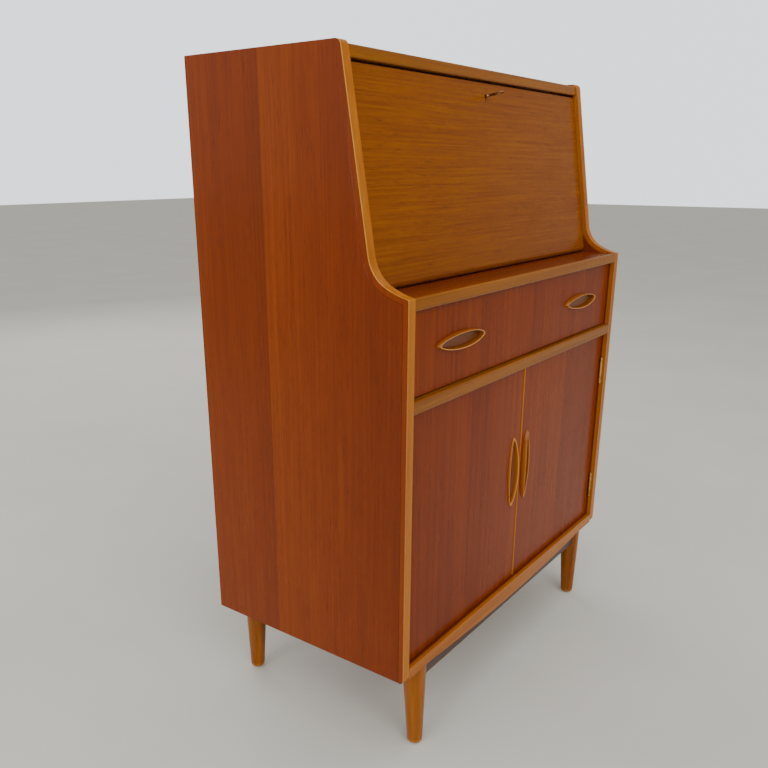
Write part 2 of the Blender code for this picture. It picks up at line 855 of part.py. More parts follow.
bow_loops = [
    oval(KEY_BOW_LENGTH, KEY_BOW_WIDTH, bow_middle),
    oval(KEY_BOW_LENGTH * 0.5, KEY_BOW_WIDTH * 0.5, bow_middle - 0.0004, 20),
]
key_bow = outline("key_bow", bow_loops, 0.0011, KEY_FRAME @ SIDE_PLANE)
boolean(key, bit, "UNION")
boolean(key, key_bow, "UNION", "MANIFOLD")

# ---------------------------------------------------------------- stays

pin_up = math.sqrt(STAY_RADIUS**2 - STAY_PIN_RISE**2)
pin_back = SLOPE + math.atan2(STAY_PIN_RISE, pin_up)
stud_back = pin_back + STAY_ANGLE
stud_y = AXIS_Y + STAY_RADIUS * math.sin(stud_back)
stud_z = AXIS_Z + STAY_RADIUS * math.cos(stud_back)
OPENING = math.pi / 2 + SLOPE
shortest = 2 * STAY_RADIUS * math.sin(STAY_ANGLE / 2)
longest = 2 * STAY_RADIUS * math.sin((STAY_ANGLE + OPENING) / 2)
arm_down = pin_back + STAY_ANGLE / 2
# Distances in from the side's inner face, from the stud's flange to the pieces' inner ends.
FLANGE_IN = 0.0020
ARM_OUT = 0.0046
ARM_IN = ARM_OUT + STAY_THICK
HEAD_OUT = 0.0025
HEAD_IN = ARM_OUT - 0.0004
EAR_OUT = ARM_IN + 0.0004
EAR_IN = EAR_OUT + 0.0020

for side, sign in MIRROR.items():
    stud_frame = Matrix.Translation((sign * INNER_X, stud_y, stud_z))
    stud_frame = stud_frame @ Matrix.Rotation(sign * math.pi / 2, 4, "Y")
    # Its z now points out of the desk, so the side's face is at 0 and the room inside is below.
    turned(
        side + "_stay_stud",
        [
            (0, -FIT),
            (STUD_FLANGE_RADIUS, -FIT),
            (STUD_FLANGE_RADIUS, -FLANGE_IN),
            (STUD_RADIUS, -FLANGE_IN),
            (STUD_RADIUS, -EAR_OUT),
            (STUD_HEAD_RADIUS, -EAR_OUT),
            (STUD_HEAD_RADIUS, -EAR_IN),
            (0, -EAR_IN),
        ],
        stud_frame,
        BRASS,
        steps=20,
    )
    bracket = box(
        side + "_stay_bracket",
        across(side, INNER_X - EAR_IN - BRACKET_WIDTH, INNER_X - EAR_OUT),
        (half_thick + FIT, half_thick + FIT + PLATE_THICK),
        (pin_up - BRACKET_LENGTH / 2, pin_up + BRACKET_LENGTH / 2),
        BRASS,
        FLAP_FRAME,
        FLAP_AXIS,
    )
    ear_x = sign * (INNER_X - (EAR_IN + EAR_OUT) / 2)
    ear_top = STAY_PIN_RISE
    ear_low = half_thick + FIT + PLATE_THICK / 2
    ear_half = 0.0060
    ear_loop = []
    for step in range(13):
        turn = math.pi / 2 - math.pi * step / 12
        ear_loop.append(
            (ear_top + ear_half * math.cos(turn), pin_up + ear_half * math.sin(turn))
        )
    ear_loop += [(ear_low, pin_up - ear_half), (ear_low, pin_up + ear_half)]
    ear = outline(
        side + "_bracket_ear",
        [ear_loop],
        (EAR_IN - EAR_OUT) / 2,
        FLAP_FRAME @ Matrix.Translation((ear_x, 0, 0)) @ SIDE_PLANE,
    )
    pin_frame = FLAP_FRAME @ Matrix.Translation((sign * INNER_X, STAY_PIN_RISE, pin_up))
    pin_frame = pin_frame @ Matrix.Rotation(sign * math.pi / 2, 4, "Y")
    pin = turned(
        side + "_bracket_pin",
        [
            (0, -HEAD_OUT),
            (STAY_HEAD_RADIUS, -HEAD_OUT),
            (STAY_HEAD_RADIUS, -HEAD_IN),
            (STAY_PIN_RADIUS, -HEAD_IN),
            (STAY_PIN_RADIUS, -EAR_OUT - 0.001),
            (0, -EAR_OUT - 0.001),
        ],
        pin_frame,
        steps=20,
    )
    boolean(bracket, ear, "UNION")
    boolean(bracket, pin, "UNION")

    pin_place = FLAP_FRAME @ Vector((sign * (INNER_X - (ARM_OUT + ARM_IN) / 2), STAY_PIN_RISE, pin_up))
    arm_frame = Matrix.Translation(pin_place) @ Matrix.Rotation(-arm_down, 4, "X")
    stay_axis = axis_empty(side + "_stay_axis", arm_frame, FLAP_AXIS)
    hole = circle(STAY_PIN_RADIUS + STAY_PLAY, steps=20)
    slot = slot_loop(shortest - 0.0005, longest + 0.0005, STUD_RADIUS + STAY_PLAY)
    arm = slot_loop(0, longest + STAY_END_SPARE, STAY_WIDTH / 2)
    outline(
        side + "_stay_arm",
        [arm, hole, slot],
        STAY_THICK / 2,
        arm_frame @ SIDE_PLANE,
        BRASS,
        stay_axis,
    )

# ---------------------------------------------------------------- pigeonholes

unit_x = INNER_X - UNIT_SIDE_GAP
unit_front = FRONT_Y + UNIT_SETBACK
unit_low = floor_high + FIT
unit_high = unit_low + UNIT_HEIGHT
unit_top_low = unit_high - UNIT_BOARD
unit_depth = (unit_front, BOARD_BACK)
for side in MIRROR:
    box(
        "pigeonhole_" + side + "_end",
        across(side, unit_x - UNIT_BOARD, unit_x),
        unit_depth,
        (unit_low, unit_top_low - FIT),
        INSIDE_WOOD,
        soft=SOFT,
    )
    third = unit_x / 3
    box(
        "pigeonhole_" + side + "_divider",
        across(side, third - UNIT_DIVIDER / 2, third + UNIT_DIVIDER / 2),
        unit_depth,
        (unit_low, unit_top_low - FIT),
        INSIDE_WOOD,
        soft=SOFT,
    )
box(
    "pigeonhole_top",
    (-unit_x, unit_x),
    unit_depth,
    (unit_top_low, unit_high),
    INSIDE_WOOD,
    soft=SOFT,
)

# ---------------------------------------------------------------- pulls


def pull(name, x, z, length, width, upright, carrier, material, parent):
    """A lens-shaped block with a dished finger hole, let into its carrier."""
    turn = Matrix.Rotation(math.pi / 2 if upright else 0.0, 4, "Z")

    def plane(front, back):
        shift = Matrix.Translation((x, (front + back) / 2, z))
        return shift @ FRONT_PLANE @ turn

    front, back = FACE_Y - PULL_PROUD, FACE_Y + PULL_IN
    half = (back - front) / 2
    body = outline(name, [lens(length, width)], half, plane(front, back), material, parent)

    def on_rim(a, b):
        return a.z > 0 and b.z > 0

    soften(body, PULL_ROUND, 2, on_rim)
    inner = lens(length - 2 * PULL_RIM_END, width - 2 * PULL_RIM_SIDE)
    dish_out, dish_in = front - 0.01, front + PULL_DISH
    dish = outline(
        name + "_dish", [inner], (dish_in - dish_out) / 2, plane(dish_out, dish_in)
    )
    boolean(body, dish)
    seat = lens(length + 4 * FIT, width + 2 * FIT)
    seat_out, seat_in = FACE_Y - 0.01, back + FIT
    mortise = outline(
        name + "_mortise", [seat], (seat_in - seat_out) / 2, plane(seat_out, seat_in)
    )
    boolean(carrier, mortise)


# ---------------------------------------------------------------- drawer

DRAWER_AXIS = axis_empty("drawer_slide", Matrix.Translation((0, FACE_Y, MID_TOP)), ROOT)
face_x = INNER_X - DOOR_GAP
front_low, front_high = MID_TOP + DOOR_GAP, SHELF_UNDER - DOOR_GAP
front_back = FACE_Y + DRAWER_FRONT_THICK
drawer_front = box(
    "drawer_front",
    (-face_x, face_x),
    (FACE_Y, front_back),
    (front_low, front_high),
    FRONT_VENEER,
    parent=DRAWER_AXIS,
    soft=SOFT,
)
side_far = INNER_X - DRAWER_SLIP
side_near = side_far - DRAWER_SIDE_THICK
side_low = front_low + 0.003
side_high = SHELF_UNDER - DRAWER_HEADROOM
drawer_end = BACK_FACE - DRAWER_BEHIND
runner_low = MID_TOP + RUNNER_UP
runner_front = front_back + 0.007
bottom_low = side_low + 0.004
bottom_x = side_near + GROOVE_DEPTH
groove = box(
    "bottom_groove",
    (-bottom_x - FIT, bottom_x + FIT),
    (front_back - GROOVE_DEPTH, BACK_Y),
    (bottom_low - FIT, bottom_low + DRAWER_BOTTOM_THICK + FIT),
)
boolean(drawer_front, groove)
for side, sign in MIRROR.items():
    drawer_side = box(
        "drawer_" + side + "_side",
        across(side, side_near, side_far),
        (front_back + FIT, drawer_end),
        (side_low, side_high),
        INSIDE_WOOD,
        parent=DRAWER_AXIS,
        soft=SOFT,
    )
    boolean(drawer_side, groove)
    runner_near = BOARD_X - RUNNER_WIDTH
    runner_groove = box(
        "runner_groove_" + side,
        across(side, runner_near - RUNNER_PLAY, INNER_X),
        (runner_front - RUNNER_PLAY, BACK_Y),
        (runner_low - RUNNER_PLAY, runner_low + RUNNER_HEIGHT + RUNNER_PLAY),
    )
    boolean(drawer_side, runner_groove)
    box(
        side + "_drawer_runner",
        across(side, runner_near, BOARD_X),
        (runner_front, BOARD_BACK),
        (runner_low, runner_low + RUNNER_HEIGHT),
        INSIDE_WOOD,
        soft=SOFT,
    )
box(
    "drawer_back",
    (-side_near + FIT, side_near - FIT),
    (drawer_end - DRAWER_BACK_THICK - 0.008, drawer_end - 0.008),
    (bottom_low + DRAWER_BOTTOM_THICK + FIT, side_high - 0.005),
    INSIDE_WOOD,
    parent=DRAWER_AXIS,
    soft=SOFT,
)
box(
    "drawer_bottom",
    (-bottom_x, bottom_x),
    (front_back - GROOVE_DEPTH + FIT, drawer_end - 0.004),
    (bottom_low, bottom_low + DRAWER_BOTTOM_THICK),
    INSIDE_WOOD,
    parent=DRAWER_AXIS,
)
pull_z = (front_low + front_high) / 2 + 0.0025
for side, sign in MIRROR.items():
    pull(
        "drawer_" + side + "_handle",
        sign * DRAWER_PULL_X,
        pull_z,
        DRAWER_PULL_LENGTH,
        DRAWER_PULL_WIDTH,
        False,
        drawer_front,
        LIPPING,
        DRAWER_AXIS,
    )

# ---------------------------------------------------------------- doors and hinges

door_low, door_high = BOTTOM_TOP + DOOR_GAP, MID_UNDER - DOOR_GAP
hinge_x = INNER_X - FIT - HINGE_RADIUS
hinge_y = FACE_Y - FIT - HINGE_RADIUS
leaf_front = FACE_Y
leaf_back = FACE_Y + HINGE_LEAF_WIDTH
case_leaf = (BOARD_X - HINGE_LEAF, BOARD_X)
door_leaf = (face_x - FIT - HINGE_LEAF, face_x - FIT)
knuckle = HINGE_LENGTH / HINGE_KNUCKLES


def hinge(side, level, z, door, door_axis):
    """A butt hinge: the case leaf holds the outer and middle knuckles and the pin, the door leaf the others."""
    sign = MIRROR[side]
    frame = Matrix.Translation((sign * hinge_x, hinge_y, z))
    name = side + "_door_" + level + "_hinge_"
    span = HINGE_LENGTH / 2
    fixed = box(
        name + "case_leaf",
        across(side, *case_leaf),
        (leaf_front, leaf_back),
        (z - span, z + span),
        BRASS,
    )
    moving = box(
        name + "door_leaf",
        across(side, *door_leaf),
        (leaf_front, leaf_back),
        (z - span, z + span),
        BRASS,
        parent=door_axis,
    )
    bore = rod(name + "bore", HINGE_PIN_RADIUS + FIT, -span - 0.01, span + 0.01, frame, steps=16)
    pin = rod(name + "pin", HINGE_PIN_RADIUS, -span + 0.001, span - 0.001, frame, steps=16)
    for i in range(HINGE_KNUCKLES):
        low = -span + i * knuckle + FIT / 2
        high = low + knuckle - FIT
        barrel = rod(name + "knuckle_" + str(i), HINGE_RADIUS, low, high, frame, steps=20)
        leaf, limits = (fixed, case_leaf) if i % 2 == 0 else (moving, door_leaf)
        web = box(
            name + "web_" + str(i),
            across(side, *limits),
            (hinge_y, leaf_front + 0.001),
            (z + low, z + high),
        )
        boolean(leaf, barrel, "UNION")
        boolean(leaf, web, "UNION")
    boolean(fixed, pin, "UNION")
    boolean(moving, bore)
    mortise = box(
        name + "mortise",
        across(side, door_leaf[0] - FIT, INNER_X),
        (FACE_Y - 0.001, leaf_back + FIT),
        (z - span - FIT, z + span + FIT),
    )
    boolean(door, mortise)


pull_door_z = MID_UNDER - DOOR_PULL_DOWN
for side, sign in MIRROR.items():
    door_axis = axis_empty(
        side + "_door_axis", Matrix.Translation((sign * hinge_x, hinge_y, 0)), ROOT
    )
    meeting = MEETING_GAP / 2 + (BEAD_WIDTH + FIT if side == "right" else 0)
    door = box(
        side + "_door_panel",
        across(side, meeting, face_x),
        (FACE_Y, DOOR_BACK_Y),
        (door_low, door_high),
        FRONT_VENEER,
        parent=door_axis,
        soft=SOFT,
    )
    if side == "right":
        box(
            "right_door_edge_bead",
            (MEETING_GAP / 2, MEETING_GAP / 2 + BEAD_WIDTH),
            (FACE_Y - 0.0005, DOOR_BACK_Y),
            (door_low, door_high),
            LIPPING,
            parent=door_axis,
            soft=SOFT,
        )
    pull(
        side + "_door_handle",
        sign * DOOR_PULL_X,
        pull_door_z,
        DOOR_PULL_LENGTH,
        DOOR_PULL_WIDTH,
        True,
        door,
        LIPPING,
        door_axis,
    )
    hinge(side, "upper", MID_UNDER - HINGE_TOP_DOWN, door, door_axis)
    hinge(side, "lower", BOTTOM_TOP + HINGE_BOTTOM_UP, door, door_axis)

bpy.context.view_layer.update()
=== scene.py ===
"""Finishes, pulls, key, small fixings, floor, light and camera for the bureau."""

import json
import math

import bmesh
import bpy
from mathutils import Matrix, Vector


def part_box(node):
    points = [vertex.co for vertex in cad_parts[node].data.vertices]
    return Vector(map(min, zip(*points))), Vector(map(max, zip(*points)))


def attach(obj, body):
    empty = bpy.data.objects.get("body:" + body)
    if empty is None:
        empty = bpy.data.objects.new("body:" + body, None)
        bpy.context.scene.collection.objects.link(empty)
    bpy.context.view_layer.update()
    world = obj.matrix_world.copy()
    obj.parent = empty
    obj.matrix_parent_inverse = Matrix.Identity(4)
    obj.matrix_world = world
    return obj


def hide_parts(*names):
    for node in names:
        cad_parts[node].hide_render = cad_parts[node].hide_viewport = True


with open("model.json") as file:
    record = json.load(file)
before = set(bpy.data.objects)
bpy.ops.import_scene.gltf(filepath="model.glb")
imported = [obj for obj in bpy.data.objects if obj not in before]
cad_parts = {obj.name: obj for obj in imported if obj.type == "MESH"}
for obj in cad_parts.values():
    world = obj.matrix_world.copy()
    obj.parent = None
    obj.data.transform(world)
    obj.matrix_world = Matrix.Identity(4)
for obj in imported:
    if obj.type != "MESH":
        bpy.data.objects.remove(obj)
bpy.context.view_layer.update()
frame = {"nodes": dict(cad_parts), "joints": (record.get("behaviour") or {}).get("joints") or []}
nodes = frame["nodes"]
joints = {joint["name"]: joint for joint in frame["joints"]}
scene = bpy.context.scene

# ---------------------------------------------------------------- shader expressions


class Sock:
    """A node's output. Arithmetic on it adds Math nodes, and node() adds any other kind."""

    def __init__(self, socket):
        self.socket = socket

    def node(self, kind, settings=None, inputs=None, out=0):
        tree = self.socket.id_data
        made = tree.nodes.new(kind)
        for name, value in (settings or {}).items():
            if name == "stops":
                fill_ramp(made.color_ramp, value)
            else:
                setattr(made, name, value)
        for key, value in (inputs or {}).items():
            if isinstance(value, Sock):
                tree.links.new(value.socket, made.inputs[key])
            else:
                made.inputs[key].default_value = value
        return Sock(made.outputs[out])

    def math(self, operation, *values, clamp=False):
        inputs = dict(enumerate(values))
        return self.node("ShaderNodeMath", {"operation": operation, "use_clamp": clamp}, inputs)

    def __add__(self, other):
        return self.math("ADD", self, other)

    __radd__ = __add__

    def __sub__(self, other):
        return self.math("SUBTRACT", self, other)

    def __rsub__(self, other):
        return self.math("SUBTRACT", other, self)

    def __mul__(self, other):
        return self.math("MULTIPLY", self, other)

    __rmul__ = __mul__

    def __abs__(self):
        return self.math("ABSOLUTE", self)

    def clamped(self):
        return self.math("ADD", self, 0.0, clamp=True)

    def floor(self):
        return self.math("FLOOR", self)

    def step(self, low, high):
        """0 at low, 1 at high, smooth between."""
        inputs = {"Value": self, "From Min": low, "From Max": high}
        return self.node("ShaderNodeMapRange", {"interpolation_type": "SMOOTHSTEP"}, inputs)

    def split(self):
        parts = self.node("ShaderNodeSeparateXYZ", None, {0: self}).socket.node
        return [Sock(output) for output in parts.outputs]

    def blend(self, first, second, kind="MIX"):
        """From the first colour to the second by this value."""
        settings = {"data_type": "RGBA", "blend_type": kind}
        return self.node("ShaderNodeMix", settings, {0: self, 6: first, 7: second}, 2)

    def noise(self, scale=1.0, detail=2.0, roughness=0.5, warp=0.0):
        inputs = {
            "Vector": self,
            "Scale": scale,
            "Detail": detail,
            "Roughness": roughness,
            "Distortion": warp,
        }
        return self.node("ShaderNodeTexNoise", None, inputs)


def fill_ramp(ramp, stops):
    while len(ramp.elements) < len(stops):
        ramp.elements.new(1.0)
    for element, (place, colour) in zip(ramp.elements, stops):
        element.position = place
        element.color = colour


def joined(x, y, z):
    source = next(value for value in (x, y, z) if isinstance(value, Sock))
    return source.node("ShaderNodeCombineXYZ", None, {0: x, 1: y, 2: z})


def tone(red, green, blue):
    """A colour in display values of 0 to 255 as the linear colour a shader takes."""

    def linear(value):
        value /= 255
        return value / 12.92 if value <= 0.04045 else ((value + 0.055) / 1.055) ** 2.4

    return (linear(red), linear(green), linear(blue), 1.0)


def scaled(colour, share):
    return (*(channel * share for channel in colour[:3]), 1.0)


class Finish:
    """A material under way: its shader, its object coordinates and its sockets."""

    def __init__(self, name, **fixed):
        self.material = bpy.data.materials.new(name)
        self.material.use_nodes = True
        self.tree = self.material.node_tree
        self.shader = self.tree.nodes["Principled BSDF"]
        coordinates = self.tree.nodes.new("ShaderNodeTexCoord")
        self.place = Sock(coordinates.outputs["Object"])
        for socket, value in fixed.items():
            self.shader.inputs[socket.replace("_", " ")].default_value = value

    def feed(self, socket, value):
        self.tree.links.new(value.socket, self.shader.inputs[socket])

    def bump(self, height, strength, distance):
        inputs = {"Strength": strength, "Distance": distance, "Height": height}
        self.feed("Normal", self.place.node("ShaderNodeBump", None, inputs))


# ---------------------------------------------------------------- finishes


TONE_STOPS = (0.12, 0.48, 0.88)  # where a wood's dark, middle and light tones lie

# How fine each layer of a wood's figure is, per metre: across its fibres, and along them.
MEANDER = (3.1, 1.3)
BANDS = (17.0, 0.55)
SLOW = (4.0, 1.1)
MOTTLE = (40.0, 11.0)
PORES = (1250.0, 34.0)
FLECKS = (320.0, 7.0)
GROWTH_STRETCH = 0.016  # the growth lines' fineness along the fibres, as a share of across

# How much each layer moves the tone.
GROWTH_SHARE = 0.95
BANDS_SHARE = 0.62
SLOW_SHARE = 0.55
MOTTLE_SHARE = 0.16
LEAF_SHARE = 0.14


def stretched(first, second, along, fineness):
    """Coordinates drawn out along the fibres: fineness is (across them, along them)."""
    across, down = fineness
    return joined(first * across, second * across, along * down)


def toned(mix, colours):
    """The mix as a colour between dark, middle and light ones."""
    stops = tuple(zip(TONE_STOPS, colours))
    return mix.node("ShaderNodeValToRGB", {"stops": stops}, {0: mix})


def wood(name, grain, colours, seed=0.0, **look):
    """Varnished wood whose fibres run along the grain's axis.

    leaf is (axis, first joint, width) of the veneer's leaves. wear is a function of x, y, z
    that says where the colour turns paler: where the varnish has rubbed thin, and on the side
    lippings' outer corner also as a painted highlight. faced is such a function with the
    colours of the skin that it lays over the wood.
    """
    lines = look.get("lines", 95.0)
    wander = look.get("wander", 0.016)
    contrast = look.get("contrast", 1.0)
    figure = look.get("figure", 1.0)
    gloss = look.get("gloss", 0.27)
    finish = Finish(
        name,
        Coat_Roughness=look.get("coat_roughness", 0.16),
        IOR=1.45,
        Specular_IOR_Level=look.get("specular", 0.20),
    )
    x, y, z = finish.place.split()
    axes = {"X": x, "Y": y, "Z": z}
    along = axes.pop(grain)
    (first_name, first), (second_name, second) = axes.items()
    leaf_tone = None
    if "leaf" in look:
        leaf_axis, start, width = look["leaf"]
        across = {"X": x, "Y": y, "Z": z}[leaf_axis]
        place = (across - start) * (1 / width)
        index = place.floor()
        drift = place - index
        picked = index + seed * 7.3
        leaf_tone = picked.node(
            "ShaderNodeTexWhiteNoise", {"noise_dimensions": "1D"}, {"W": picked}
        )
        shifted = leaf_tone * 2.7 + across
        if leaf_axis == first_name:
            first = shifted
        elif leaf_axis == second_name:
            second = shifted
    first = first + seed
    second = second + seed * 0.37
    meander = stretched(first, second, along, MEANDER).noise(detail=3) - 0.5
    bent = meander * wander + first
    turned = meander * wander + second
    growth = stretched(bent, turned, along, (lines, lines * GROWTH_STRETCH))
    growth = growth.noise(detail=5, roughness=0.62, warp=0.15)
    bands = stretched(bent, turned, along, BANDS).noise(detail=3, roughness=0.55)
    slow = stretched(first, second, along, SLOW).noise(detail=2)
    mottle = stretched(first, second, along, MOTTLE).noise(detail=2)
    mix = 0.5 + (growth - 0.5) * (GROWTH_SHARE * contrast)
    mix = mix + (bands - 0.5) * (BANDS_SHARE * figure)
    mix = mix + (slow - 0.5) * (SLOW_SHARE * figure) + (mottle - 0.5) * MOTTLE_SHARE
    if leaf_tone:
        mix = mix + (leaf_tone - 0.5) * LEAF_SHARE
        mix = mix + (drift - 0.5) * look.get("drift", 0.22)
    dark = colours[0]
    colour = toned(mix, colours)
    if "faced" in look:
        where, skin = look["faced"]
        colour = where(x, y, z).blend(colour, toned(mix, skin))
    pores = stretched(bent, turned, along, PORES).noise(detail=2)
    pores = pores.step(0.57, 0.72) * look.get("pores", 0.6)
    colour = pores.blend(colour, scaled(dark, 0.45))
    # Long dark flecks that run with the fibres.
    flecks = stretched(bent, turned, along, FLECKS).noise(detail=3, roughness=0.7)
    flecks = flecks.step(0.60, 0.74) * look.get("flecks", 0.35)
    colour = flecks.blend(colour, scaled(dark, 0.75))
    smudge = finish.place.noise(scale=9.0, detail=3)
    rough = pores * 0.10 + (smudge - 0.5) * 0.14 + (growth - 0.5) * 0.05 + gloss
    coat = (1 - pores * 0.6) * look.get("coat", 0.09)
    # Paler where the varnish has rubbed thin, and where the mask paints a highlight on the side
    # lippings' outer corner.
    if "wear" in look:
        rub_and_highlight_mask = look["wear"](x, y, z)
        patchy = (finish.place.noise(scale=55.0, detail=4) + 0.35) * rub_and_highlight_mask
        patchy = patchy.clamped()
        colour = patchy.blend(colour, look["bare"])
        rough = rough + patchy * 0.14
        coat = coat * (1 - patchy * 0.6)
    if "pale_crest" in look:
        # Paler along the pull's rim crest, and painted shade down in its hollow; the crest and
        # hollow attributes are 1 there.
        crest = colour.node("ShaderNodeAttribute", {"attribute_name": "crest"}, None, 2)
        hollow = colour.node("ShaderNodeAttribute", {"attribute_name": "hollow"}, None, 2)
        colour = (crest * look["pale_crest"]).clamped().blend(colour, look["bare"])
        colour = (hollow * 0.75).clamped().blend(colour, scaled(dark, 0.55))
        rough = rough + hollow * 0.12
    finish.feed("Base Color", colour)
    finish.feed("Roughness", rough.clamped())
    finish.feed("Coat Weight", coat.clamped())
    height = growth * 0.35 - pores - flecks * 0.3
    finish.bump(height, look.get("relief", 0.16), 0.0006)
    return finish.material


def metal(name, bright, dull, gloss, seed=0.0):
    """Rubbed metal: tarnish in soft patches, fine scratches and a few dark specks."""
    finish = Finish(name, Metallic=1.0)
    place = finish.place
    x, y, z = place.split()
    patches = joined(x + seed, y, z).noise(scale=70.0, detail=4, roughness=0.6)
    fine = joined(x * 3.0, y * 3.0, z * 0.4 + seed).noise(scale=900.0, detail=2)
    specks = place.noise(scale=600.0, detail=1).step(0.70, 0.78) * 0.5
    colour = patches.step(0.35, 0.72).blend(bright, dull)
    colour = specks.blend(colour, scaled(dull, 0.35))
    finish.feed("Base Color", colour)
    rough = patches * 0.16 + (fine - 0.5) * 0.12 + specks * 0.3 + (gloss - 0.08)
    finish.feed("Roughness", rough.clamped())
    finish.bump(fine + patches * 0.5, 0.05, 0.0002)
    return finish.material


def pressed_board(name):
    """The back's hardboard: matted fibres, pale specks and a few dark ones."""
    finish = Finish(name)
    fibres = finish.place.noise(scale=420.0, detail=6, roughness=0.75, warp=1.2)
    clouds = finish.place.noise(scale=5.0, detail=3)
    mix = fibres * 0.75 + clouds * 0.35 - 0.05
    stops = ((0.25, tone(92, 60, 34)), (0.55, tone(136, 94, 56)), (0.8, tone(170, 126, 80)))
    finish.feed("Base Color", mix.node("ShaderNodeValToRGB", {"stops": stops}, {0: mix}))
    finish.feed("Roughness", fibres * 0.2 + 0.68)
    finish.bump(fibres, 0.35, 0.0006)
    return finish.material


half_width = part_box("right_side_lipping")[1].x
shelf_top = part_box("desk_shelf")[1].z

# Depths below the lippings' outer face, where a mask starts and where it is full.
CORNER_RUB_AND_HIGHLIGHT = (0.0034, 0.0014)
OUTER_SKIN = (0.0007, 0.0002)
SLOPE_HIGHLIGHT = (0.06, 0.05)  # the painted highlight brightens from this far below the shelf to this far above
FOOT_RUB = (0.002, 0.012)  # heights between which the feet's rub fades


def outer_edge(x, y, z):
    """The outer corner of the sides' lippings, paler from rub and from a painted highlight that
    grows brighter up the slope.
    """
    start, full = CORNER_RUB_AND_HIGHLIGHT
    below, above = SLOPE_HIGHLIGHT
    corner = abs(x).step(half_width - start, half_width - full) * (1 - outer_face(x, y, z))
    return corner * (z.step(shelf_top - below, shelf_top + above) * 0.55 + 0.35)


def outer_face(x, y, z):
    """The lippings' flat outer face, which the side's veneer runs over."""
    start, full = OUTER_SKIN
    return abs(x).step(half_width - start, half_width - full)


def foot_rub(x, y, z):
    return (1 - z.step(*FOOT_RUB)) * 0.4


VENEER = (tone(92, 31, 0), tone(115, 43, 0), tone(136, 60, 0))
FACE = (tone(94, 31, 0), tone(122, 46, 0), tone(144, 63, 0))
FLAP_TONES = (tone(96, 42, 0), tone(130, 67, 0), tone(154, 90, 4))
SHELF_TONES = (tone(84, 28, 0), tone(110, 42, 0), tone(132, 60, 0))
PULL_TONES = (tone(118, 54, 0), tone(152, 82, 2), tone(178, 108, 14))
GOLD = (tone(132, 64, 0), tone(166, 94, 4), tone(190, 120, 22))
EDGE_TONES = (tone(104, 52, 0), tone(136, 78, 2), tone(162, 100, 12))
LEG_TONES = (tone(98, 46, 4), tone(136, 74, 14), tone(168, 104, 36))
# Very dark tones: painted shade for the apron set back under the bottom lipping.
APRON_SHADE_TONES = (tone(40, 14, 6), tone(64, 26, 12), tone(84, 38, 20))
PLAIN = (tone(150, 96, 46), tone(184, 128, 70), tone(210, 160, 100))
# The paler colour that rubbed places turn to; on the side lippings' corner it is also a painted
# highlight.
RUBBED_AND_HIGHLIGHT_TONE = tone(216, 156, 72)

FINE_STREAKS = {"lines": 210.0, "contrast": 0.7, "figure": 0.6, "wander": 0.010, "drift": 0.34}
SOFT_SHEEN = {"coat": 0.04, "specular": 0.13}
# The pulls: paler along the rim's crest, painted shade down in the hollow, and a glossier coat.
PULL_CREST_AND_HOLLOW_SHADE = {"pale_crest": 0.75, "bare": tone(222, 160, 84), "coat": 0.25, "specular": 0.35}
LEAVES = ("Y", 0.054, 0.262)  # the sides' veneer: a joint's place and a leaf's width

FINISHES = {
    "side_left": wood(
        "case_veneer_left", "Z", VENEER, 1.0, leaf=LEAVES, **FINE_STREAKS
    ),
    "side_right": wood(
        "case_veneer_right", "Z", VENEER, 4.0, leaf=LEAVES, **FINE_STREAKS
    ),
    "top": wood("case_veneer_top", "X", VENEER, 2.0, leaf=("Y", -0.07, 0.14)),
    "shelf": wood("case_veneer_shelf", "X", SHELF_TONES, 3.0),
    "doors": wood(
        "door_veneer",
        "Z",
        FACE,
        5.0,
        leaf=("X", -0.3635, 0.1817),
        figure=0.7,
        drift=0.1,
        lines=130.0,
        **SOFT_SHEEN,
    ),
    "drawer": wood("drawer_veneer", "Z", FACE, 6.0, figure=0.7, lines=130.0, **SOFT_SHEEN),
    "flap": wood(
        "flap_veneer",
        "X",
        FLAP_TONES,
        7.0,
        lines=290.0,
        contrast=0.85,
        figure=0.42,
        wander=0.006,
        **SOFT_SHEEN,
    ),
    # The side lippings: their outer corner is paler from rub and from a painted highlight,
    # brightest up the slope.
    "upright_lipping": wood(
        "upright_lipping",
        "Z",
        GOLD,
        8.0,
        wear=outer_edge,
        bare=RUBBED_AND_HIGHLIGHT_TONE,
        faced=(outer_face, VENEER),
        pores=0.3,
        flecks=0.2,
        contrast=0.7,
    ),
    "level_lipping": wood("level_lipping", "X", GOLD, 9.0, pores=0.3, contrast=0.8),
    "dark_lipping": wood("shelf_lipping", "X", EDGE_TONES, 18.0, pores=0.35, contrast=0.8),
    "bead": wood("door_bead", "Z", GOLD, 10.0, pores=0.3),
    "leg": wood("turned_leg", "Z", LEG_TONES, 11.0, wear=foot_rub, bare=RUBBED_AND_HIGHLIGHT_TONE, pores=0.4),
    # The apron's dark tones are painted shade.
    "apron": wood("apron_painted_shade", "X", APRON_SHADE_TONES, 12.0, gloss=0.36, coat=0.15),
    "level_pull": wood(
        "level_pull", "X", PULL_TONES, 13.0, lines=160.0, pores=0.2, figure=0.6, **PULL_CREST_AND_HOLLOW_SHADE
    ),
    "upright_pull": wood(
        "upright_pull", "Z", PULL_TONES, 14.0, lines=160.0, pores=0.2, figure=0.6, **PULL_CREST_AND_HOLLOW_SHADE
    ),
    "inside_x": wood("inside_board_level", "X", PLAIN, 15.0, gloss=0.44, coat=0.06),
    "inside_y": wood("inside_board_deep", "Y", PLAIN, 16.0, gloss=0.44, coat=0.06),
    "inside_z": wood("inside_board_upright", "Z", PLAIN, 17.0, gloss=0.44, coat=0.06),
    "back": pressed_board("back_hardboard"),
    "brass": metal("rubbed_brass", tone(214, 170, 92), tone(150, 104, 44), 0.27),
    "steel": metal("screw_steel", tone(206, 200, 190), tone(128, 120, 108), 0.28, 3.0),
    "bronze": metal("key_bronze", tone(176, 138, 98), tone(96, 66, 42), 0.30, 5.0),
}

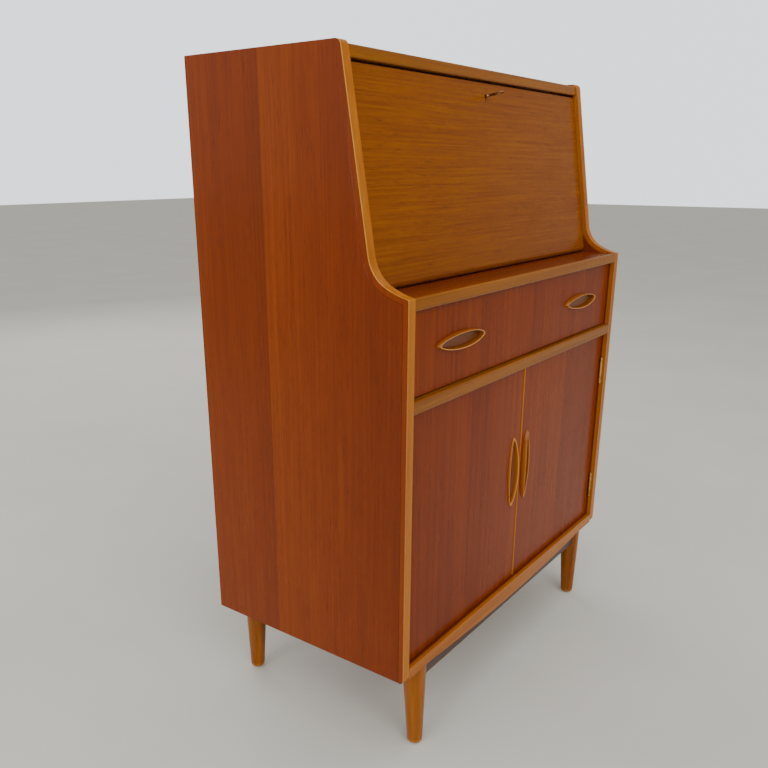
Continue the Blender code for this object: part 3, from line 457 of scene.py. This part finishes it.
BY_NODE = {
    "left_side_panel": "side_left",
    "right_side_panel": "side_right",
    "top_panel": "top",
    "desk_shelf": "shelf",
    "bottom_panel": "shelf",
    "shelf_lipping": "dark_lipping",
    "mid_rail": "dark_lipping",
    "top_front_rail": "dark_lipping",
    "drawer_front": "drawer",
    "flap_panel": "flap",
    "left_side_lipping": "upright_lipping",
    "right_side_lipping": "upright_lipping",
    "right_door_edge_bead": "bead",
    "front_apron": "apron",
    "back_panel": "back",
    "desk_floor": "inside_x",
    "cupboard_shelf": "inside_x",
    "drawer_divider_panel": "inside_x",
    "pigeonhole_top": "inside_x",
    "drawer_back": "inside_x",
    "drawer_bottom": "inside_y",
    "key": "steel",
    "lock_bolt": "steel",
}
BY_PART = (
    ("door_panel", "doors"),
    ("_leg", "leg"),
    ("pigeonhole", "inside_z"),
    ("drawer_left_side", "inside_y"),
    ("drawer_right_side", "inside_y"),
    ("runner", "inside_y"),
    ("hinge", "brass"),
    ("stay", "brass"),
    ("pivot_pin", "brass"),
    ("lock_case", "brass"),
    ("door_handle", "upright_pull"),
    ("handle", "level_pull"),
    ("rail", "level_lipping"),
    ("lipping", "level_lipping"),
)


def smooth_edges(piece):
    """Round surfaces shade smoothly, and real corners stay crisp."""
    piece.data.shade_smooth()
    weld = piece.modifiers.new("weld", "WELD")
    weld.merge_threshold = 0.00001
    split = piece.modifiers.new("crisp_corners", "EDGE_SPLIT")
    split.split_angle = math.radians(33)
    weighted = piece.modifiers.new("flat_faces_first", "WEIGHTED_NORMAL")
    weighted.keep_sharp = True


for name, piece in nodes.items():
    finish = BY_NODE.get(name) or next(kind for part, kind in BY_PART if part in name)
    piece.data.materials.clear()
    piece.data.materials.append(FINISHES[finish])
    smooth_edges(piece)

# ---------------------------------------------------------------- pieces made here


def new_piece(name, mesh, finish, body, slot, *stands_for):
    made = bpy.data.objects.new(name, mesh)
    scene.collection.objects.link(made)
    mesh.materials.clear()
    mesh.materials.append(FINISHES[finish])
    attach(made, body)
    if stands_for:
        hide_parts(*stands_for)
    return made


def finished_mesh(name, shape, crisp=40):
    """The bmesh as a mesh with outward faces, smooth where it is round."""
    bmesh.ops.remove_doubles(shape, verts=shape.verts, dist=1e-7)
    bmesh.ops.recalc_face_normals(shape, faces=shape.faces)
    mesh = bpy.data.meshes.new(name)
    shape.to_mesh(mesh)
    shape.free()
    mesh.shade_smooth()
    mesh.set_sharp_from_angle(angle=math.radians(crisp))
    return mesh


# The pulls' section from the outer foot to the hollow's middle: (inset from the outline, depth
# behind the rim's crest), and how much lower the crest lies at the tips.
PULL_SECTION = (
    (0.00000, None),
    (0.00040, 0.0046),
    (0.00085, 0.0026),
    (0.00125, 0.0012),
    (0.00165, 0.0004),
    (0.00205, 0.0001),
    (0.00240, 0.0000),
    (0.00275, 0.0002),
    (0.00310, 0.0008),
    (0.00335, 0.0020),
    (0.00360, 0.0042),
    (0.00400, 0.0066),
    (0.00480, 0.0088),
    (0.00600, 0.0104),
    (0.00760, 0.0114),
    (0.00940, 0.0119),
    (0.01100, 0.0121),
)
CREST_RINGS = {5: 0.6, 6: 1.0, 7: 0.8, 8: 0.3}
HOLLOW_FROM = 9  # the ring where the hollow's wall begins
TIP_DROP = 0.0038
TIP_INSET = 2.3  # the rings draw in this much faster at the tips, where the sides meet
SIDE_DROP = 0.0058  # on a door, how much lower the rim lies away from the meeting edges
PULL_STEPS = 88
LENS_POWER = 1.3  # over 1, the outline narrows to pointed tips
RIM_SETBACK = 0.0008  # from the CAD pull's front to the rim's crest


def pull(name, node, finish, body, door_side=0):
    """A boat-shaped pull: a thin rim, highest in its middle, round a hollow.

    door_side is -1 or 1 for an upright pull on the left or right door, and 0 for a level one.
    """
    low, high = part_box(node)
    middle = (low + high) / 2
    length, width = sorted((high.x - low.x, high.z - low.z), reverse=True)
    deep = high.y - low.y
    lowest = deep - RIM_SETBACK
    shape = bmesh.new()
    # crest marks the rim's crest, where the finish turns paler, and hollow marks the hollow,
    # where the finish paints shade.
    crest = shape.verts.layers.float.new("crest")
    hollow = shape.verts.layers.float.new("hollow")
    rings = []
    for index, (inset, depth) in enumerate(PULL_SECTION):
        ring = []
        for step in range(PULL_STEPS):
            turn = 2 * math.pi * step / PULL_STEPS
            along = (length / 2 - inset * TIP_INSET) * math.cos(turn)
            swell = abs(math.sin(turn)) ** LENS_POWER * math.copysign(1, math.sin(turn))
            across = (width / 2 - inset) * swell
            tip = (2 * along / length) ** 2
            away = 0.5 + door_side * across / width
            setback = RIM_SETBACK + TIP_DROP * tip + (SIDE_DROP * away if door_side else 0)
            drop = deep if depth is None else min(setback + depth, lowest)
            x, z = (across, along) if door_side else (along, across)
            made = shape.verts.new((middle.x + x, low.y + drop, middle.z + z))
            made[crest] = CREST_RINGS.get(index, 0.0)
            made[hollow] = min(max(index - HOLLOW_FROM, 0) / 3, 1.0)
            ring.append(made)
        rings.append(ring)
    for outer, inner in zip(rings, rings[1:]):
        for i in range(PULL_STEPS):
            j = (i + 1) % PULL_STEPS
            shape.faces.new((outer[i], outer[j], inner[j], inner[i]))
    shape.faces.new(rings[0])
    shape.faces.new(rings[-1])
    mesh = finished_mesh(name, shape, 60)
    return new_piece(name, mesh, finish, body, "lipping", node)


pull("drawer_left_pull", "drawer_left_handle", "level_pull", "drawer")
pull("drawer_right_pull", "drawer_right_handle", "level_pull", "drawer")
pull("left_door_pull", "left_door_handle", "upright_pull", "left_door", -1)
pull("right_door_pull", "right_door_handle", "upright_pull", "right_door", 1)


# The key's frame: its origin on the key's line in the flap's middle, y into the desk, and z up
# the flap.
key_joint = joints["key_turn"]
outward = Vector(key_joint["axis"])
key_frame = Matrix.Translation(key_joint["pos_m"]) @ Matrix.Rotation(
    -math.atan2(outward.z, -outward.y), 4, "X"
)


def turned_shape(shape, profile, matrix, steps=28):
    """Adds a round solid to the shape: (radius, place) points along the matrix's own y."""
    rings = []
    for radius, place in profile:
        ring = []
        for step in range(steps):
            turn = 2 * math.pi * step / steps
            point = (radius * math.cos(turn), place, radius * math.sin(turn))
            ring.append(shape.verts.new(matrix @ Vector(point)))
        rings.append(ring)
    for first, second in zip(rings, rings[1:]):
        for i in range(steps):
            j = (i + 1) % steps
            shape.faces.new((first[i], first[j], second[j], second[i]))
    shape.faces.new(rings[0])
    shape.faces.new(rings[-1])


def block_shape(shape, low, high, matrix, soft=0.0):
    """Adds a block with eased edges to the shape."""
    made = bmesh.ops.create_cube(shape, size=1.0)["verts"]
    for vert in made:
        for axis in range(3):
            vert.co[axis] = low[axis] if vert.co[axis] < 0 else high[axis]
    bmesh.ops.transform(shape, matrix=matrix, verts=made)
    if soft:
        edges = {edge for vert in made for edge in vert.link_edges}
        bmesh.ops.bevel(shape, geom=list(edges), offset=soft, segments=2, affect="EDGES")


# (radius, place) down the key's stem: its collar in the keyhole's mouth, and the one at its bow.
KEY_STEM = (
    (0.0022, -0.0112),
    (0.0024, -0.0116),
    (0.0025, -0.0124),
    (0.0024, -0.0132),
    (0.0020, -0.0137),
    (0.0020, -0.0262),
    (0.0025, -0.0268),
    (0.0025, -0.0277),
    (0.0019, -0.0284),
    (0.0014, -0.0296),
)
BOW_FROM_TIP = 0.0078  # from the key's outer end to the bow's middle
BOW_WIDE = 0.0050  # the bow's half width and half length, to the wire's middle
BOW_LONG = 0.0064
WIRE = (0.0012, 0.0009)  # the wire's radius in the bow's plane and across it
BOW_STEPS = 40
WIRE_STEPS = 12

key_points = [key_frame.inverted() @ corner.co for corner in nodes["key"].data.vertices]
key_tip = min(point.y for point in key_points)
key_inner = max(point.y for point in key_points)
shape = bmesh.new()
stem_end = ((0.0018, key_inner), (0.0022, key_inner - 0.0004))
turned_shape(shape, stem_end + KEY_STEM, key_frame)
# The bit.
block_shape(
    shape,
    (-0.0010, key_inner - 0.0030, -0.0074),
    (0.0010, key_inner - 0.0004, -0.0010),
    key_frame,
    0.0003,
)
# The bow: an oval ring of round wire, flattened a little.
ring_middle = key_tip + BOW_FROM_TIP
bow_rings = []
for step in range(BOW_STEPS):
    turn = 2 * math.pi * step / BOW_STEPS
    wide, long = math.sin(turn), math.cos(turn)
    centre = Vector((BOW_WIDE * wide, ring_middle + BOW_LONG * long, 0))
    out = Vector((BOW_LONG * wide, BOW_WIDE * long, 0)).normalized()
    ring = []
    for around in range(WIRE_STEPS):
        angle = 2 * math.pi * around / WIRE_STEPS
        rise = Vector((0, 0, WIRE[1] * math.sin(angle)))
        point = centre + out * (WIRE[0] * math.cos(angle)) + rise
        ring.append(shape.verts.new(key_frame @ point))
    bow_rings.append(ring)
for first, second in zip(bow_rings, bow_rings[1:] + bow_rings[:1]):
    for i in range(WIRE_STEPS):
        j = (i + 1) % WIRE_STEPS
        shape.faces.new((first[i], first[j], second[j], second[i]))
new_piece("flap_key", finished_mesh("flap_key", shape), "bronze", "key", "steel", "key")

# ---------------------------------------------------------------- repeated fixings


def fixing_tree(name, slotted):
    """A tree that sets a small round head on each point, facing the way its attribute says."""
    tree = bpy.data.node_groups.new(name, "GeometryNodeTree")
    face = tree.interface
    face.new_socket("Geometry", in_out="INPUT", socket_type="NodeSocketGeometry")
    sizes = {"Head Radius": 0.0027, "Head Rise": 0.0005, "Slot Width": 0.0007}
    for label, value in sizes.items():
        socket = face.new_socket(label, in_out="INPUT", socket_type="NodeSocketFloat")
        socket.default_value = value
    face.new_socket("Seed", in_out="INPUT", socket_type="NodeSocketInt")
    face.new_socket("Finish", in_out="INPUT", socket_type="NodeSocketMaterial")
    face.new_socket("Geometry", in_out="OUTPUT", socket_type="NodeSocketGeometry")
    entry = tree.nodes.new("NodeGroupInput").outputs
    given = {output.name: Sock(output) for output in entry if output.name}
    start = given["Geometry"]
    head = start.node(
        "GeometryNodeMeshCone",
        {"fill_type": "NGON"},
        {
            "Vertices": 20,
            "Radius Top": given["Head Radius"] * 0.82,
            "Radius Bottom": given["Head Radius"],
            "Depth": given["Head Rise"],
        },
    )
    if slotted:
        bar_size = joined(
            given["Head Radius"] * 2.4, given["Slot Width"], given["Head Rise"] * 1.2
        )
        bar = start.node("GeometryNodeMeshCube", None, {"Size": bar_size})
        raised = joined(0.0, 0.0, given["Head Rise"])
        bar = start.node(
            "GeometryNodeTransform", None, {"Geometry": bar, "Translation": raised}
        )
        head = start.node(
            "GeometryNodeMeshBoolean",
            {"operation": "DIFFERENCE"},
            {"Mesh 1": head, "Mesh 2": bar},
        )
    facing = start.node(
        "GeometryNodeInputNamedAttribute", {"data_type": "FLOAT_VECTOR"}, {"Name": "facing"}
    )
    aim = start.node(
        "FunctionNodeAlignRotationToVector", {"axis": "Z"}, {"Vector": facing}
    )
    spin = start.node(
        "FunctionNodeRandomValue",
        {"data_type": "FLOAT"},
        {2: 0.0, 3: math.pi, "Seed": given["Seed"]},
        1,
    )
    turn = start.node(
        "FunctionNodeAxisAngleToRotation", None, {"Axis": (0.0, 0.0, 1.0), "Angle": spin}
    )
    aim = start.node(
        "FunctionNodeRotateRotation",
        {"rotation_space": "LOCAL"},
        {"Rotation": aim, "Rotate By": turn},
    )
    spread = start.node(
        "GeometryNodeInstanceOnPoints",
        None,
        {"Points": start, "Instance": head, "Rotation": aim},
    )
    real = start.node("GeometryNodeRealizeInstances", None, {"Geometry": spread})
    painted = start.node(
        "GeometryNodeSetMaterial", None, {"Geometry": real, "Material": given["Finish"]}
    )
    out = tree.nodes.new("NodeGroupOutput")
    tree.links.new(painted.socket, out.inputs[0])
    return tree


SCREWS = fixing_tree("slotted_screw_heads", True)
PINS = fixing_tree("panel_pin_heads", False)

# Each kind of head's radius and rise.
HINGE_SCREW = (0.0024, 0.00028)
LOCK_SCREW = (0.0022, 0.0004)
PANEL_PIN = (0.0019, 0.0006)

LEAF_SCREWS = ((-0.019, 0.0), (0.0, 0.0035), (0.019, 0.0))  # up the leaf, and towards its back
LEAF_SCREW_INSET = 0.0075  # from the leaf's back edge
CASE_LEAF_FACE = 0.0009  # from the case leaf's outer bound in to the face that shows
DOOR_LEAF_FACE = 0.0003  # from the door panel's edge in to the leaf's face
LOCK_SCREW_INSET = 0.0055


def fixings(name, tree, places, body, finish, slot, radius, rise, seed=1):
    """(point, facing) places as one plain mesh of heads that rides on the body."""
    mesh = bpy.data.meshes.new(name)
    mesh.from_pydata([point for point, _ in places], [], [])
    facing = mesh.attributes.new("facing", "FLOAT_VECTOR", "POINT")
    for value, (_, way) in zip(facing.data, places):
        value.vector = way
    drawn = bpy.data.objects.new(name + "_points", mesh)
    scene.collection.objects.link(drawn)
    modifier = drawn.modifiers.new("heads", "NODES")
    modifier.node_group = tree
    values = {
        "Head Radius": radius,
        "Head Rise": rise,
        "Seed": seed,
        "Finish": FINISHES[finish],
    }
    for item in tree.interface.items_tree:
        if item.in_out == "INPUT" and item.name in values:
            modifier[item.identifier] = values[item.name]
    graph = bpy.context.evaluated_depsgraph_get()
    plain = bpy.data.meshes.new_from_object(drawn.evaluated_get(graph))
    bpy.data.objects.remove(drawn)
    plain.name = name
    return new_piece(name, plain, finish, body, slot)


def hinge_places(side, leaf):
    """Three screws on each of a door's two leaves of one kind."""
    places = []
    sign = -1 if side == "left" else 1
    for level in ("upper", "lower"):
        low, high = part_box(f"{side}_door_{level}_hinge_{leaf}")
        middle = (low.z + high.z) / 2
        # The case leaf shows its inner face and the door leaf its outer one.
        plate = high if sign > 0 else low
        if leaf == "case_leaf":
            x = plate.x - sign * CASE_LEAF_FACE
            way = (-sign, 0, 0)
        else:
            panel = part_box(f"{side}_door_panel")
            x = (panel[1].x if sign > 0 else panel[0].x) - sign * DOOR_LEAF_FACE
            way = (sign, 0, 0)
        for offset, back in LEAF_SCREWS:
            places.append(((x, high.y - LEAF_SCREW_INSET + back, middle + offset), way))
    return places


case_screws = hinge_places("left", "case_leaf") + hinge_places("right", "case_leaf")
fixings(
    "case_hinge_screws", SCREWS, case_screws, "cabinet", "brass", "brass", *HINGE_SCREW, 3
)
for side in ("left", "right"):
    door = side + "_door"
    places = hinge_places(side, "door_leaf")
    fixings(door + "_hinge_screws", SCREWS, places, door, "brass", "brass", *HINGE_SCREW, 5)


def seen_face(node):
    """A flap fitting's face on the desk's side: its bounds on the flap, and its level."""
    inverse = key_frame.inverted()
    points = [inverse @ corner.co for corner in nodes[node].data.vertices]
    level = max(point.y for point in points)
    face = [point for point in points if point.y > level - 1e-5]
    spread = [(min(axis), max(axis)) for axis in zip(*face)]
    return spread[0], spread[2], level


def flap_place(x, level, z):
    return (key_frame @ Vector((x, level, z)), key_frame.to_3x3() @ Vector((0, 1, 0)))


flap_screws = []
across_lock, up_lock, level = seen_face("lock_case")
for x in (across_lock[0] + LOCK_SCREW_INSET, across_lock[1] - LOCK_SCREW_INSET):
    for z in (up_lock[0] + LOCK_SCREW_INSET, up_lock[1] - LOCK_SCREW_INSET):
        flap_screws.append(flap_place(x, level, z))
fixings("lock_case_screws", SCREWS, flap_screws, "flap", "steel", "steel", *LOCK_SCREW, 11)

# Four turned pegs carry the loose cupboard shelf. Their (radius, place) points run from inside
# the side board to the tip.
PEG = (
    (0.0025, -0.006),
    (0.0025, 0.0),
    (0.0046, 0.0),
    (0.0050, 0.0004),
    (0.0050, 0.0012),
    (0.0046, 0.0016),
    (0.0026, 0.0018),
    (0.0026, 0.0080),
    (0.0021, 0.0088),
)
PEG_INSET = 0.040  # from the shelf's front and back edges
PEG_DROP = 0.0030  # from the shelf's underside to the peg's middle
shelf_low, shelf_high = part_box("cupboard_shelf")
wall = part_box("right_side_panel")[0].x
shape = bmesh.new()
for side in (-1, 1):
    for y in (shelf_low.y + PEG_INSET, shelf_high.y - PEG_INSET):
        hole = Matrix.Translation((side * wall, y, shelf_low.z - PEG_DROP))
        inward = Matrix.Rotation(side * math.pi / 2, 4, "Z")
        turned_shape(shape, PEG, hole @ inward, 20)
new_piece("shelf_pegs", finished_mesh("shelf_pegs", shape), "brass", "cabinet", "brass")

# Panel pins round the back's edge and along the desk shelf.
PINS_ACROSS = 8
PIN_GAPS_UP = 10
PIN_SIDE = 0.005  # the upright rows, from the panel's edges
PIN_END = 0.009  # the level rows, in from the panel's edges and down from the shelf's top
ROW_END = 0.012  # the level rows' first and last pins, from the panel's edges
low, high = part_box("back_panel")
row = high.x - low.x - 2 * ROW_END
pins = []
for i in range(PINS_ACROSS):
    x = low.x + ROW_END + row * i / (PINS_ACROSS - 1)
    for z in (low.z + PIN_END, high.z - PIN_END, shelf_top - PIN_END):
        pins.append(((x, high.y, z), (0, 1, 0)))
for i in range(1, PIN_GAPS_UP):
    z = low.z + (high.z - low.z) * i / PIN_GAPS_UP
    for x in (low.x + PIN_SIDE, high.x - PIN_SIDE):
        pins.append(((x, high.y, z), (0, 1, 0)))
fixings("back_panel_pins", PINS, pins, "cabinet", "steel", "steel", *PANEL_PIN, 7)

# ---------------------------------------------------------------- floor, light and camera

FLOOR_SIZE = 40
BACKDROP_RADIUS = 40
BACKDROP_GLOW = 1.9
LEFT_TO_RIGHT = (-0.75, 0.55)  # the leftward directions between which the world brightens
WORLD_LEAST = 0.48
WORLD_GAIN = 0.50  # how much brighter it is on the left

bpy.ops.mesh.primitive_plane_add(size=FLOOR_SIZE)
floor = bpy.context.object
floor.name = "studio_floor"
ground = Finish("pale_floor")
soft_patches = ground.place.noise(scale=2.2, detail=4, roughness=0.6)
ground.feed("Base Color", soft_patches.blend(tone(196, 196, 190), tone(212, 212, 206)))
ground.feed("Roughness", soft_patches * 0.1 + 0.8)
floor.data.materials.append(ground.material)

world = bpy.data.worlds.new("studio")
scene.world = world
world.use_nodes = True
background = world.node_tree.nodes["Background"]
background.inputs["Color"].default_value = (1.0, 0.975, 0.925, 1.0)
around = Sock(world.node_tree.nodes.new("ShaderNodeTexCoord").outputs["Generated"])
leftward = around.split()[0] * -1
brightness = leftward.step(*LEFT_TO_RIGHT) * WORLD_GAIN + WORLD_LEAST
world.node_tree.links.new(brightness.socket, background.inputs["Strength"])


def soft_light(name, place, target, size, power, colour=(1.0, 1.0, 1.0)):
    lamp = bpy.data.lights.new(name, "AREA")
    lamp.shape = "RECTANGLE"
    lamp.size, lamp.size_y = size
    lamp.energy = power
    lamp.color = colour
    made = bpy.data.objects.new(name, lamp)
    scene.collection.objects.link(made)
    made.location = place
    aim = Vector(target) - Vector(place)
    made.rotation_euler = aim.to_track_quat("-Z", "Y").to_euler()


soft_light("window", (-1.9, -3.0, 2.6), (0, 0, 0.6), (2.4, 1.8), 60, (1.0, 0.97, 0.93))
soft_light("side_window", (-3.4, 0.2, 1.9), (0, 0, 0.5), (2.0, 1.6), 34, (1.0, 0.97, 0.94))
soft_light("overhead", (0.4, -0.6, 3.4), (0, 0, 0.3), (2.2, 2.2), 26)
soft_light("rear_fill", (1.6, 3.4, 2.2), (0, 0, 0.5), (2.4, 1.8), 38, (1.0, 0.98, 0.95))

# A wide pale backdrop that only the camera sees: it throws no shadow and no light on the desk.
bpy.ops.mesh.primitive_uv_sphere_add(segments=64, ring_count=32, radius=BACKDROP_RADIUS)
backdrop = bpy.context.object
backdrop.name = "studio_backdrop"
paper = Finish("pale_backdrop", Roughness=1.0)
haze = paper.place.noise(scale=0.02, detail=1)
paper.feed("Base Color", haze.blend(tone(20, 20, 20), tone(24, 24, 24)))
paper.feed("Emission Color", haze.blend(tone(232, 236, 240), tone(244, 247, 250)))
paper.shader.inputs["Emission Strength"].default_value = BACKDROP_GLOW
backdrop.data.materials.append(paper.material)
backdrop.visible_diffuse = False
backdrop.visible_glossy = False
backdrop.visible_shadow = False

EYE = (-1.2487, -0.7791, 0.9116)
HEADING = math.radians(53.270)
DIP = math.radians(-18.725)
TILT = math.radians(-0.078)

camera = bpy.data.cameras.new("camera")
camera.sensor_width = 36.0
camera.lens = 37.38
camera.shift_x = 0.0223
camera.shift_y = 0.0708
eye = bpy.data.objects.new("camera", camera)
scene.collection.objects.link(eye)
level_reach = math.cos(DIP)
look = Vector((math.sin(HEADING) * level_reach, math.cos(HEADING) * level_reach, math.sin(DIP)))
roll = Matrix.Rotation(TILT, 4, "Z").to_quaternion()
eye.location = EYE
eye.rotation_mode = "QUATERNION"
eye.rotation_quaternion = look.to_track_quat("-Z", "Y") @ roll
scene.camera = eye
